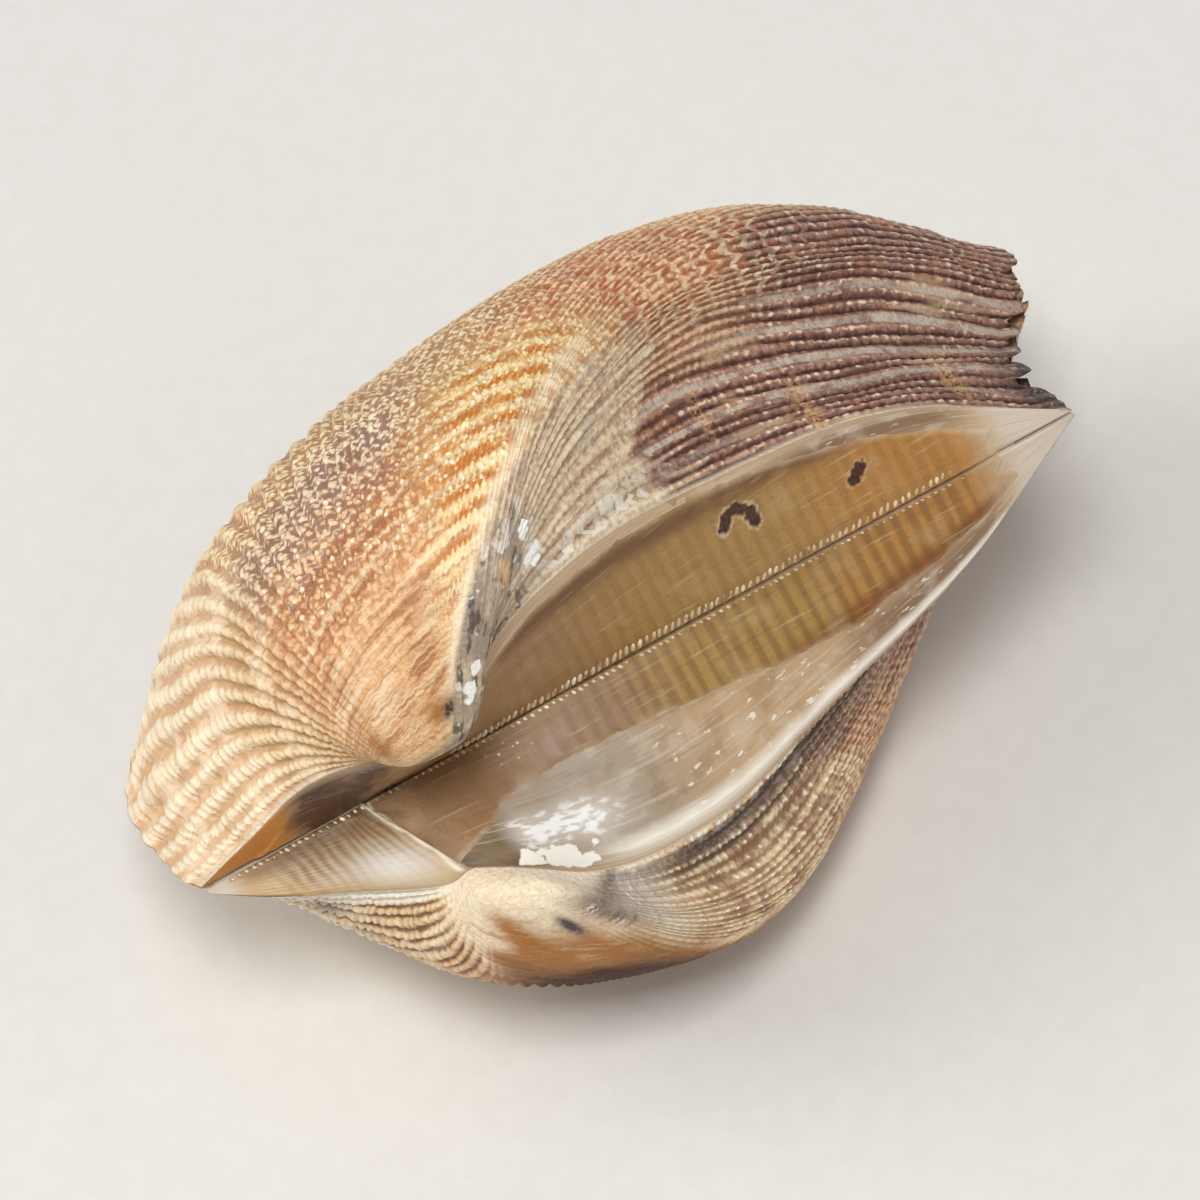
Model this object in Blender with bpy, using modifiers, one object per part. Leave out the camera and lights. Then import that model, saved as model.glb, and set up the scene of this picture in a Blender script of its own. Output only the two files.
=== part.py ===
"""A whole ark clam shell: two hollow valves shut on each other, and the dried ligament over their hinge.

The shell is drawn in its own frame, in millimetres: X runs along the straight hinge from front to rear,
Y is sideways with the right valve at +Y, and Z points up from the hinge to the beaks. The hinge line is
y = 0, z = 0, and x = 0 is beside the beaks. An empty then lays the shell on its left flank.
"""
import math

import bmesh
import bpy
import numpy as np
from mathutils import Vector

MM = 0.001

# Hinge line, its two ends measured from the beaks.
HINGE_FRONT = -16.7
HINGE_REAR = 45.3

# Beak, and the border of the flat area between the beaks and the hinge, as (x, y, z) on the right valve.
BEAK = (-0.5, 4.7, 6.2)
REAR_BORDER = ((2, 5.6, 7.8), (6, 8.4, 6.8), (13, 10.3, 5.1), (24, 9.0, 1.8), (36, 5.9, -0.2))
FRONT_BORDER = ((-3.5, 4.8, 5.0), (-8, 4.2, 2.6), (-13, 2.1, 1.4))
HINGE_LAG = 3.9        # how far in front of the beaks the ridge below them meets the hinge
HINGE_LAG_REACH = 5.0
HINGE_LAG_FADE = 40.0  # product of the distances to the hinge's two ends under which the lag dies out

# Margin, as (share of the hinge length, share of the depth), from the front end round to the rear.
MARGIN = ((0, 0), (-0.012, 0.035), (-0.025, 0.13), (-0.04, 0.27), (-0.03, 0.52), (0.07, 0.79),
          (0.32, 0.955), (0.53, 0.975), (0.78, 0.945), (0.91, 0.89), (1.035, 0.74), (1.055, 0.52),
          (1.0, 0.29), (0.995, 0.17), (1, 0))
DEPTH = 33.9           # hinge to the ventral margin
INFLATION = 1.31       # turn of the margin, in radians, for each e-fold of growth
DEPTH_GROWTH = 0.96    # power of the size that the depth grows with
BEAK_SIZE = 0.09       # size at which the beak stops turning in
BEAK_ROUNDING = 4      # power that sets how suddenly it stops

# Walls and gaps.
GAP = 0.3              # between the valves, and under the ligament
CAVITY_CENTRE = (14.0, 0.0, -22.0)
CAVITY_SHARE = (0.93, 0.89, 0.83)   # cavity size against the outside, in X, Y and Z
CUT_OVERRUN = 3.0      # how far a cutter runs past the plane between the valves

# Ventral gap that the byssus passes through.
BYSSAL_CENTRE = (6.0, 0.0, -33.5)
BYSSAL_RADII = (8.5, 2.2, 4.5)

# Ligament.
LIGAMENT_ENDS = (-13.5, 41.0)
LIGAMENT_THICKNESS = 0.45
# Share of the way from the hinge to the border that is still covered on each valve, as (x, share).
LIGAMENT_RIGHT = ((-13.5, 0.25), (-10, 0.6), (-5, 0.92), (24, 0.94), (30, 0.85), (36, 0.7), (41, 0.5))
LIGAMENT_LEFT = ((-13.5, 0.3), (-3.5, 0.36), (-1, 0.8), (1.5, 0.66), (4.5, 0.42), (10, 0.35), (14, 0.375),
                 (18.7, 0.46), (27.5, 0.69), (41, 0.72))

# Rest: turned about the hinge, then tipped end to end.
REST_ROLL = math.radians(62.7)
REST_PITCH = math.radians(-6.6)

# Linear base colours and roughness.
FINISHES = {
    "right_valve": ((0.36, 0.20, 0.11), 0.45),
    "left_valve": ((0.40, 0.25, 0.14), 0.45),
    "ligament": ((0.30, 0.17, 0.06), 0.3),
}

# Mesh density, and the size of the smallest ring on the outside and in the hollow.
OUTER_RINGS, OUTER_STEPS, OUTER_SMALLEST = 30, 44, 0.02
INNER_RINGS, INNER_STEPS, INNER_SMALLEST = 20, 34, 0.12
RING_CROWDING = 0.6    # rings are even in this power of the size, so they crowd towards the beak
BYSSAL_SEGMENTS, BYSSAL_RINGS = 20, 12
LIGAMENT_STEPS = 43
LIGAMENT_RIBBONS = 3   # on each side of the hinge


def smooth(knots, values, at):
    """Cubic through the values at the knots, with no overshoot at a flat stretch."""
    knots = np.asarray(knots, float)
    values = np.asarray(values, float)
    slope = np.gradient(values, knots)
    i = np.clip(np.searchsorted(knots, at) - 1, 0, len(knots) - 2)
    step = knots[i + 1] - knots[i]
    t = (at - knots[i]) / step
    return ((2 * t**3 - 3 * t**2 + 1) * values[i] + (t**3 - 2 * t**2 + t) * step * slope[i]
            + (3 * t**2 - 2 * t**3) * values[i + 1] + (t**3 - t**2) * step * slope[i + 1])


def border(x):
    """Border of the cardinal area at each x, right valve, as an array of points."""
    points = [(HINGE_FRONT, 0, 0), *reversed(FRONT_BORDER), BEAK, *REAR_BORDER, (HINGE_REAR, 0, 0)]
    knots, across, up = zip(*points)
    middle = len(FRONT_BORDER) + 2
    y = np.where(x < BEAK[0], smooth(knots[:middle], across[:middle], x),
                 smooth(knots[middle - 1:], across[middle - 1:], x))
    z = np.where(x < BEAK[0], smooth(knots[:middle], up[:middle], x),
                 smooth(knots[middle - 1:], up[middle - 1:], x))
    return np.stack([x, y, z], axis=-1)


def hinge_foot(x):
    """Point of the hinge line that a growth line of the cardinal area at border place x runs down to."""
    lag = HINGE_LAG * np.exp(-((x - BEAK[0]) / HINGE_LAG_REACH) ** 2)
    ends = (x - HINGE_FRONT) * (HINGE_REAR - x)
    return np.stack([x - lag * np.clip(ends / HINGE_LAG_FADE, 0, 1), 0 * x, 0 * x], axis=-1)


def margin(steps):
    """Margin curve in its own shares, evenly spread along its length."""
    points = np.asarray(MARGIN, float)
    length = np.cumsum(np.r_[0, np.linalg.norm(np.diff(points, axis=0), axis=1)])
    at = np.linspace(0, length[-1], steps + 1)
    return smooth(length, points[:, 0], at), smooth(length, points[:, 1], at)


def growth_surface(rings, steps, smallest):
    """Outside of the right valve as a grid of points, from the beak's ring to the margin."""
    size = np.linspace(smallest**RING_CROWDING, 1, rings) ** (1 / RING_CROWDING)
    front = border(BEAK[0] + (HINGE_FRONT - BEAK[0]) * size)
    rear = border(BEAK[0] + (HINGE_REAR - BEAK[0]) * size)
    beak = BEAK_SIZE**BEAK_ROUNDING
    turn = -INFLATION / BEAK_ROUNDING * np.log((size**BEAK_ROUNDING + beak) / (1 + beak))
    depth = DEPTH * size**DEPTH_GROWTH
    outward = np.stack([0 * turn, np.sin(turn), -np.cos(turn)], axis=-1) * depth[:, None]
    along, down = margin(steps)
    grid = (front[:, None] + along[None, :, None] * (rear - front)[:, None]
            + down[None, :, None] * outward[:, None])
    return grid, front, rear


def valve_body(name, rings, steps, smallest, side, overrun):
    """Solid of one valve's outside, closed off past the plane between the valves by the overrun."""
    grid, front, rear = growth_surface(rings, steps, smallest)
    bm = bmesh.new()

    def vert(point):
        return bm.verts.new(Vector((point[0], side * point[1], point[2])) * MM)

    sheet = [[vert(p) for p in row] for row in grid]
    front_feet = [vert(p) for p in hinge_foot(front[:-1, 0])]
    rear_feet = [vert(p) for p in hinge_foot(rear[:-1, 0])]
    tip = vert(BEAK)
    tip_foot = vert(hinge_foot(np.array([BEAK[0]]))[0])
    front_feet.append(sheet[-1][0])
    rear_feet.append(sheet[-1][-1])
    for row, after in zip(sheet, sheet[1:]):
        for j in range(steps):
            bm.faces.new((row[j], row[j + 1], after[j + 1], after[j]))
    for j in range(steps):
        bm.faces.new((tip, sheet[0][j + 1], sheet[0][j]))
    bm.faces.new((tip, sheet[0][0], front_feet[0], tip_foot))
    bm.faces.new((tip, tip_foot, rear_feet[0], sheet[0][-1]))
    for i in range(rings - 1):
        front_face = [sheet[i][0], sheet[i + 1][0], front_feet[i + 1], front_feet[i]]
        rear_face = [sheet[i][-1], rear_feet[i], rear_feet[i + 1], sheet[i + 1][-1]]
        bm.faces.new(list(dict.fromkeys(front_face)))
        bm.faces.new(list(dict.fromkeys(rear_face)))
    rim = [edge for edge in bm.edges if edge.is_boundary]
    if overrun:
        grown = bmesh.ops.extrude_edge_only(bm, edges=rim)["geom"]
        fresh = [item for item in grown if isinstance(item, bmesh.types.BMVert)]
        bmesh.ops.translate(bm, verts=fresh, vec=(0, -side * overrun * MM, 0))
        rim = [edge for edge in bm.edges if edge.is_boundary]
    bmesh.ops.contextual_create(bm, geom=rim)
    bmesh.ops.recalc_face_normals(bm, faces=bm.faces)
    mesh = bpy.data.meshes.new(name)
    bm.to_mesh(mesh)
    bm.free()
    return bpy.data.objects.new(name, mesh)


def cut(target, cutter):
    """Take the cutter's volume out of the target with a live Boolean."""
    boolean = target.modifiers.new("cut_" + cutter.name, "BOOLEAN")
    boolean.operation = "DIFFERENCE"
    boolean.solver = "EXACT"
    boolean.object = cutter
    cutter.hide_render = True
    cutter.display_type = "WIRE"


def cavity_cutter(name, side):
    """Hollow of one valve: the outside drawn in towards the middle of the shell."""
    cutter = valve_body(name, INNER_RINGS, INNER_STEPS, INNER_SMALLEST, side, CUT_OVERRUN)
    cutter.scale = CAVITY_SHARE
    cutter.location = [MM * centre * (1 - share) for centre, share in zip(CAVITY_CENTRE, CAVITY_SHARE)]
    return cutter


def byssal_cutter():
    """Lens that leaves the narrow ventral gap for the byssus."""
    bpy.ops.mesh.primitive_uv_sphere_add(segments=BYSSAL_SEGMENTS, ring_count=BYSSAL_RINGS, radius=1)
    cutter = bpy.context.object
    cutter.name = "byssal_gap"
    cutter.scale = [radius * MM for radius in BYSSAL_RADII]
    cutter.location = [centre * MM for centre in BYSSAL_CENTRE]
    for holder in cutter.users_collection:
        holder.objects.unlink(cutter)
    return cutter


def ligament_sheet():
    """Thin layer of dried ligament lying in the trough between the two borders."""
    x = np.linspace(*LIGAMENT_ENDS, LIGAMENT_STEPS + 1)
    edge = border(x)
    foot = hinge_foot(x)
    lift = GAP * np.hypot(1, edge[:, 2] / edge[:, 1])
    bm = bmesh.new()
    rows = []
    for part in np.linspace(-1, 1, 2 * LIGAMENT_RIBBONS + 1):
        share = abs(part) * np.interp(x, *zip(*(LIGAMENT_LEFT if part < 0 else LIGAMENT_RIGHT)))
        line = foot + share[:, None] * (edge - foot)
        line[:, 1] *= math.copysign(1, part)
        line[:, 2] += lift
        rows.append([bm.verts.new(Vector(point) * MM) for point in line])
    for row, after in zip(rows, rows[1:]):
        for i in range(len(x) - 1):
            bm.faces.new((row[i], row[i + 1], after[i + 1], after[i]))
    mesh = bpy.data.meshes.new("ligament")
    bm.to_mesh(mesh)
    bm.free()
    ligament = bpy.data.objects.new("ligament", mesh)
    wall = ligament.modifiers.new("thickness", "SOLIDIFY")
    wall.thickness = LIGAMENT_THICKNESS * MM
    wall.offset = 1
    return ligament


def finish(name):
    """Principled material of one sub-part."""
    colour, roughness = FINISHES[name]
    material = bpy.data.materials.new(name)
    material.use_nodes = True
    shader = material.node_tree.nodes["Principled BSDF"]
    shader.inputs["Base Color"].default_value = (*colour, 1)
    shader.inputs["Roughness"].default_value = roughness
    shader.inputs["Metallic"].default_value = 0
    return material


def lay_down(holder, parts):
    """Turn the shell to its rest on the left flank, its box standing centred on the origin."""
    holder.rotation_euler = (REST_ROLL, REST_PITCH, 0)
    turn = holder.rotation_euler.to_matrix()
    points = np.array([turn @ v.co for part in parts for v in part.data.vertices])
    low, high = points.min(axis=0), points.max(axis=0)
    holder.location = (-(low[0] + high[0]) / 2, -(low[1] + high[1]) / 2, -low[2])


def main():
    for item in list(bpy.data.objects):
        bpy.data.objects.remove(item, do_unlink=True)
    parts = bpy.data.collections.new("ark_clam_shell")
    cutters = bpy.data.collections.new("cutters")
    for collection in (parts, cutters):
        bpy.context.scene.collection.children.link(collection)
    holder = bpy.data.objects.new("rest", None)
    parts.objects.link(holder)

    gap_cutter = byssal_cutter()
    pieces, tools = [], [gap_cutter]
    for name, side in (("right_valve", 1), ("left_valve", -1)):
        valve = valve_body(name, OUTER_RINGS, OUTER_STEPS, OUTER_SMALLEST, side, 0)
        valve.data.transform(((1, 0, 0, 0), (0, 1, 0, side * GAP / 2 * MM), (0, 0, 1, 0), (0, 0, 0, 1)))
        valve.data.materials.append(finish(name))
        hollow = cavity_cutter(name + "_cavity", side)
        cut(valve, hollow)
        cut(valve, gap_cutter)
        pieces.append(valve)
        tools.append(hollow)
    ligament = ligament_sheet()
    ligament.data.materials.append(finish("ligament"))
    pieces.append(ligament)

    for piece in pieces:
        parts.objects.link(piece)
        piece.parent = holder
    for tool in tools:
        cutters.objects.link(tool)
        tool.parent = holder
    lay_down(holder, pieces)


main()
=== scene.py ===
"""A whole ark clam shell lying on its left flank: two ribbed valves, and the dried ligament over the hinge.

Everything is drawn in the shell's own frame in millimetres (X along the hinge from front to rear, +Y the
right valve, Z up from the hinge to the beaks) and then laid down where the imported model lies.
"""
import logging
import math
from collections.abc import Sequence
from dataclasses import dataclass, field
from enum import Enum
from typing import Any

import bmesh
import bpy
import numpy as np
from mathutils import Matrix, Vector


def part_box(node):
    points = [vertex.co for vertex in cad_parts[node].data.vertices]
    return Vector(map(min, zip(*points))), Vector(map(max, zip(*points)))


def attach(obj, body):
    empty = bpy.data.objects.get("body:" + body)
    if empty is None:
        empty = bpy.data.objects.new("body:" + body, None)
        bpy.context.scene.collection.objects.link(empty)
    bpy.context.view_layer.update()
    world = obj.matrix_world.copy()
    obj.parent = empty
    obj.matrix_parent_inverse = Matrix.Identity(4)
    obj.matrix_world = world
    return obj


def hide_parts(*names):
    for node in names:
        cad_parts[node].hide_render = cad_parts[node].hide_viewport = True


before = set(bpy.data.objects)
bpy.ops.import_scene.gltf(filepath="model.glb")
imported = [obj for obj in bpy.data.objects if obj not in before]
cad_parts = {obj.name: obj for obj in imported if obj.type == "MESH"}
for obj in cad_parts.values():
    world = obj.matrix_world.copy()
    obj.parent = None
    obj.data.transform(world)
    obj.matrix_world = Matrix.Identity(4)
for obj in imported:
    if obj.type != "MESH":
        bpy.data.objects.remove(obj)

log = logging.getLogger("ark_clam_shell")
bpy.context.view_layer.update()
MM = 0.001
Array = np.ndarray
Knots = tuple[tuple[float, ...], ...]


class Side(Enum):
    """Which valve a piece belongs to; the value is the sign of its Y."""

    RIGHT = 1
    LEFT = -1

    @property
    def node(self) -> str:
        """Name of the valve's CAD node."""
        return self.name.lower() + "_valve"


def smooth(knots: Array, values: Array, at: Array) -> Array:
    """Cubic through the values at the knots.

    Args:
        knots: Rising places of the values.
        values: Value at each knot.
        at: Places to read.

    Returns:
        The curve's value at each place.
    """
    knots = np.asarray(knots, float)
    values = np.asarray(values, float)
    slope = np.gradient(values, knots)
    i = np.clip(np.searchsorted(knots, at) - 1, 0, len(knots) - 2)
    step = knots[i + 1] - knots[i]
    t = (at - knots[i]) / step
    return ((2 * t**3 - 3 * t**2 + 1) * values[i] + (t**3 - 2 * t**2 + t) * step * slope[i]
            + (3 * t**2 - 2 * t**3) * values[i + 1] + (t**3 - t**2) * step * slope[i + 1])


def ease(low: float, high: float, at: Array) -> Array:
    """Smooth step from 0 at low to 1 at high."""
    t = np.clip((at - low) / (high - low), 0, 1)
    return t * t * (3 - 2 * t)


def hill(centre: float, width: float, at: Array) -> Array:
    """Bell of height 1 at the centre."""
    return np.exp(-((at - centre) / width) ** 2)


def rumple(seed: int, at: Array, across: Array, waves: int = 6) -> Array:
    """Smooth seeded unevenness between about -1 and 1 over two coordinates.

    Args:
        seed: Fixes the draw.
        at: First coordinate, about one wave to a unit.
        across: Second coordinate, the same.
        waves: Number of waves summed.

    Returns:
        The sum of the waves at each place.
    """
    rng = np.random.default_rng(seed)
    total = 0 * (at + across)
    for _ in range(waves):
        way = rng.uniform(0, math.tau)
        pitch = rng.uniform(0.6, 1.6) * math.tau
        total = total + np.sin(pitch * (math.cos(way) * at + math.sin(way) * across) + rng.uniform(0, math.tau))
    return total / math.sqrt(waves) * 0.8


@dataclass(frozen=True)
class GrowthForm:
    """Shape of the right valve's outside, in millimetres, as the shell adds to its margin."""

    hinge_front: float = -16.7
    hinge_rear: float = 45.3
    beak: tuple[float, float, float] = (-0.5, 4.7, 6.2)
    rear_border: Knots = ((2, 5.6, 7.8), (6, 8.4, 6.8), (13, 10.3, 5.1), (24, 9.0, 1.8), (36, 5.9, -0.2))
    front_border: Knots = ((-3.5, 4.8, 5.0), (-8, 4.2, 2.6), (-13, 2.1, 1.4))
    hinge_lag: float = 3.9
    hinge_lag_reach: float = 5.0
    outline: Knots = ((0, 0), (-0.012, 0.035), (-0.025, 0.13), (-0.04, 0.27), (-0.03, 0.52), (0.07, 0.79),
                      (0.32, 0.955), (0.53, 0.975), (0.78, 0.945), (0.91, 0.89), (1.035, 0.74),
                      (1.055, 0.52), (1.0, 0.29), (0.995, 0.17), (1, 0))
    depth: float = 33.9
    inflation: float = 1.31
    depth_growth: float = 0.96
    beak_size: float = 0.09
    gap: float = 0.3
    smallest: float = 0.02
    rest_roll: float = math.radians(62.7)
    rest_pitch: float = math.radians(-6.6)
    cavity_centre: tuple[float, float, float] = (14.0, 0.0, -22.0)
    cavity_share: tuple[float, float, float] = (0.93, 0.89, 0.83)

    def border(self, x: Array) -> Array:
        """Border of the flat hinge area on the right valve.

        Args:
            x: Places along the hinge.

        Returns:
            A point of the border for each place.
        """
        points = [(self.hinge_front, 0, 0), *reversed(self.front_border), self.beak, *self.rear_border,
                  (self.hinge_rear, 0, 0)]
        knots, across, up = zip(*points)
        middle = len(self.front_border) + 2
        sides = [np.where(x < self.beak[0], smooth(knots[:middle], values[:middle], x),
                          smooth(knots[middle - 1:], values[middle - 1:], x)) for values in (across, up)]
        return np.stack([x, *sides], axis=-1)

    def hinge_foot(self, x: Array) -> Array:
        """Points of the hinge line under the border's places x."""
        lag = self.hinge_lag * np.exp(-((x - self.beak[0]) / self.hinge_lag_reach) ** 2)
        ends = (x - self.hinge_front) * (self.hinge_rear - x)
        return np.stack([x - lag * np.clip(ends / 40, 0, 1), 0 * x, 0 * x], axis=-1)

    def margin(self, around: Array) -> tuple[Array, Array]:
        """Shares of the hinge length and the depth at each place round the margin, 0 front to 1 rear."""
        points = np.asarray(self.outline, float)
        length = np.cumsum(np.r_[0, np.linalg.norm(np.diff(points, axis=0), axis=1)])
        at = around * length[-1]
        return smooth(length, points[:, 0], at), smooth(length, points[:, 1], at)

    def surface(self, size: Array, around: Array) -> Array:
        """Outside of the right valve.

        Args:
            size: Growth stages, from near 0 at the beak to 1 at the margin; a column, or the full grid.
            around: Places round the margin, in the same shape or one that spreads with it.

        Returns:
            The grid of points.
        """
        size, around = np.broadcast_arrays(size, around)
        front = self.border(self.beak[0] + (self.hinge_front - self.beak[0]) * size)
        rear = self.border(self.beak[0] + (self.hinge_rear - self.beak[0]) * size)
        turn = -self.inflation / 4 * np.log((size**4 + self.beak_size**4) / (1 + self.beak_size**4))
        depth = self.depth * size**self.depth_growth
        outward = np.stack([0 * turn, np.sin(turn), -np.cos(turn)], axis=-1) * depth[..., None]
        along, down = self.margin(around)
        return front + along[..., None] * (rear - front) + down[..., None] * outward

    def placement(self) -> Matrix:
        """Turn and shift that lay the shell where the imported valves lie."""
        turn = Matrix.Rotation(self.rest_pitch, 4, "Y") @ Matrix.Rotation(self.rest_roll, 4, "X")
        grid = self.surface(np.linspace(self.smallest, 1, 90)[:, None], np.linspace(0, 1, 160)[None])
        points = grid.reshape(-1, 3) + (0, self.gap / 2, 0)
        points = np.r_[points, points * (1, -1, 1)] @ np.array(turn.to_3x3()).T
        low, high = points.min(axis=0), points.max(axis=0)
        boxes = [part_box(side.node) for side in Side]
        goal_low = np.min([box[0] for box in boxes], axis=0) / MM
        goal_high = np.max([box[1] for box in boxes], axis=0) / MM
        shift = (goal_low + goal_high - low - high) / 2
        return Matrix.Translation(Vector(shift)) @ turn


FORM = GrowthForm()
PLACE = FORM.placement()


def to_world(points: Array) -> Array:
    """Points of the shell's frame, in millimetres, as metres in the row's frame."""
    flat = np.c_[points.reshape(-1, 3), np.ones(points.size // 3)]
    return (flat @ np.array(PLACE).T)[:, :3] * MM


@dataclass
class Patchwork:
    """Points, faces and painted values of one piece, gathered grid by grid."""

    points: list[Array] = field(default_factory=list)
    values: list[dict[str, Array]] = field(default_factory=list)
    faces: list[list[int]] = field(default_factory=list)
    slots: list[int] = field(default_factory=list)
    smooth: list[bool] = field(default_factory=list)
    count: int = 0

    def lay(self, points: Array, values: dict[str, Array]) -> Array:
        """Add a grid of points with their painted values, and return their indices in the grid's shape."""
        shape = points.shape[:-1]
        self.points.append(points.reshape(-1, 3))
        self.values.append({name: np.broadcast_to(value, shape).ravel() for name, value in values.items()})
        first = self.count
        self.count += math.prod(shape)
        return first + np.arange(math.prod(shape)).reshape(shape)

    def quads(self, index: Array, slot: int) -> None:
        """Join a grid of point indices into quads in one material slot."""
        quads = np.stack([index[:-1, :-1], index[:-1, 1:], index[1:, 1:], index[1:, :-1]], axis=-1)
        self.faces.extend(quads.reshape(-1, 4).tolist())
        self.slots.extend([slot] * (quads.size // 4))
        self.smooth.extend([True] * (quads.size // 4))

    def bridge(self, fine: Array, coarse: Array, slot: int) -> None:
        """Join two edges, one of which has a whole number of points to each of the other's."""
        step = (len(fine) - 1) // (len(coarse) - 1)
        for j in range(len(coarse) - 1):
            self.close([*fine[j * step:(j + 1) * step + 1], coarse[j + 1], coarse[j]], slot)

    def close(self, loop: Sequence[int], slot: int) -> None:
        """Fill a loop of points with one flat face."""
        self.faces.append([int(i) for i in loop])
        self.slots.append(slot)
        self.smooth.append(False)

    def build(self, name: str, finishes: Sequence[bpy.types.Material]) -> bpy.types.Object:
        """Object with this mesh and its finishes, its points in the row's frame.

        Args:
            name: Name of the piece.
            finishes: Material of each slot.

        Returns:
            The new object.
        """
        faces = [list(dict.fromkeys(face)) for face in self.faces]
        kept = [len(face) > 2 for face in faces]
        faces = [face for face, keep in zip(faces, kept) if keep]
        used = np.zeros(self.count, bool)
        used[[i for face in faces for i in face]] = True
        place = np.cumsum(used) - 1
        mesh = bpy.data.meshes.new(name)
        mesh.from_pydata(to_world(np.concatenate(self.points)[used]).tolist(), [],
                         [place[face].tolist() for face in faces])
        mesh.polygons.foreach_set("material_index", np.array(self.slots, np.int32)[kept])
        mesh.polygons.foreach_set("use_smooth", np.array(self.smooth)[kept])
        for key in sorted({key for block in self.values for key in block}):
            column = [block.get(key, np.zeros(len(points))) for block, points in zip(self.values, self.points)]
            mesh.attributes.new(key, "FLOAT", "POINT").data.foreach_set("value", np.concatenate(column)[used])
        solid = bmesh.new()
        solid.from_mesh(mesh)
        bmesh.ops.recalc_face_normals(solid, faces=solid.faces)
        solid.to_mesh(mesh)
        solid.free()
        piece = bpy.data.objects.new(name, mesh)
        bpy.context.scene.collection.objects.link(piece)
        for finish in finishes:
            mesh.materials.append(finish)
        return piece


@dataclass(frozen=True)
class Sculpture:
    """Ribs, beads and growth steps of one valve, cut inwards from the smooth outside, in millimetres."""

    side: Side
    form: GrowthForm = FORM
    rib_pitch: Knots = ((0, 2.0), (0.03, 2.4), (0.07, 3.6), (0.1, 4.3), (0.18, 4.1), (0.22, 3.2), (0.3, 2.6),
                        (0.38, 2.2), (0.46, 1.2), (0.7, 1.2), (0.78, 1.4), (0.8, 1.05), (0.84, 1.15),
                        (0.87, 1.45), (0.94, 1.45), (0.95, 1.1), (1, 1.05))
    rear_fan: Knots = ((0.8, 0), (0.84, 0.005), (0.87, 0.01), (0.91, 0.02), (0.944, 0.031), (0.96, 0.028), (1, 0))
    rear_sweep: Knots = ((0.68, 0), (0.76, 0.02), (0.84, 0.035), (0.92, 0.035), (0.97, 0.02), (1, 0))
    inset: float = 0.22
    knob: float = 0.35
    bead_pitch_beak: float = 0.5
    bead_pitch_margin: float = 0.86
    column_pitch: float = 0.38
    rows_to_a_bead: int = 3
    keel: Knots = ((0.05, 0.5), (0.09, 0.545), (0.12, 0.56), (0.16, 0.587), (0.2, 0.627), (0.245, 0.667),
                   (0.31, 0.71), (0.4, 0.73), (0.48, 0.745), (0.6, 0.76), (1, 0.79))

    def rib_table(self) -> tuple[Array, Array]:
        """Places round the margin and the count of ribs up to each."""
        around = np.linspace(0, 1, 1201)
        edge = self.form.surface(np.ones((1, 1)), around[None])[0]
        length = np.linalg.norm(np.diff(edge, axis=0), axis=1).sum()
        pitch = np.interp(around, *zip(*self.rib_pitch))
        count = np.r_[0, np.cumsum(length / pitch[1:]) / (len(around) - 1)]
        return around, count * round(count[-1]) / count[-1]

    def bead_table(self) -> tuple[Array, Array]:
        """Growth stages and the count of beads up to each."""
        size = np.linspace(self.form.smallest, 1, 1201)
        spiral = self.form.depth * math.hypot(1, self.form.inflation)
        pitch = self.bead_pitch_beak + (self.bead_pitch_margin - self.bead_pitch_beak) * size
        count = np.r_[0, np.cumsum(spiral / pitch[1:]) * (size[1] - size[0])]
        return size, count * round(count[-1]) / count[-1]

    def columns(self) -> tuple[Array, Array]:
        """Places of the grid's columns round the margin, and their rib counts, an even number to a rib."""
        around, count = self.rib_table()
        middle = np.arange(round(count[-1])) + 0.5
        pitch = np.interp(np.interp(middle, count, around), *zip(*self.rib_pitch))
        ribs = [0.0]
        for rib, parts in enumerate(2 * np.maximum(2, np.round(pitch / self.column_pitch / 2)).astype(int)):
            ribs.extend(rib + np.arange(1, parts + 1) / parts)
        ribs = np.array(ribs)
        return np.interp(ribs, count, around), ribs

    def rows(self, step: int) -> tuple[Array, Array]:
        """Growth stages of the grid's rows, and their bead counts; the count of rows past the first fits step."""
        size, count = self.bead_table()
        parts = round(count[-1]) * self.rows_to_a_bead
        beads = np.arange(parts % step, parts + 1) / self.rows_to_a_bead
        return np.interp(beads, count, size), beads

    def bend(self, size: Array, around: Array) -> Array:
        """Places round the margin of the rib lines, which bend as the shell grows."""
        fan = np.interp(around, *zip(*self.rear_fan)) * ease(0.75, 1, size)
        sweep = np.interp(around, *zip(*self.rear_sweep)) * (1 - ease(0.5, 0.76, size))
        wander = 0.004 * rumple(5 + self.side.value, around * 9, size * 4) * ease(0.05, 0.12, around)
        return around - fan - sweep + (0.03 * hill(0.23, 0.08, around) * ease(0.65, 0.95, size)
                                       + wander) * (1 - ease(0.9, 0.97, around))

    def margin_notch(self, around: Array, ribs: Array) -> Array:
        """Share of the growth that is missing at the edge: the byssal gap, the rib ends and the chips."""
        along = self.form.hinge_front + (self.form.hinge_rear - self.form.hinge_front) * self.form.margin(around)[0]
        byssal = 0.055 * np.clip(1 - ((along - 6) / 9) ** 2, 0, 1) * (around > 0.2) * (around < 0.6)
        rear = ease(0.76, 0.8, around) * (1 - ease(0.965, 0.985, around))
        lobes = 1 - np.abs(np.sin(math.pi * ribs / 3))
        frayed = rear * (0.02 * lobes + 0.014 * rumple(31 + self.side.value, ribs / 6, 0 * ribs) ** 2)
        ribbed = 0.0015 * (0.5 - 0.5 * np.cos(math.tau * ribs))
        shorter = (0.018 - 0.009 * ease(0.3, 0.5, around)) * (1 - ease(0.95, 0.99, around))
        return np.maximum(byssal, frayed) + ribbed * (1 - rear) + shorter * (self.side is Side.LEFT)

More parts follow.
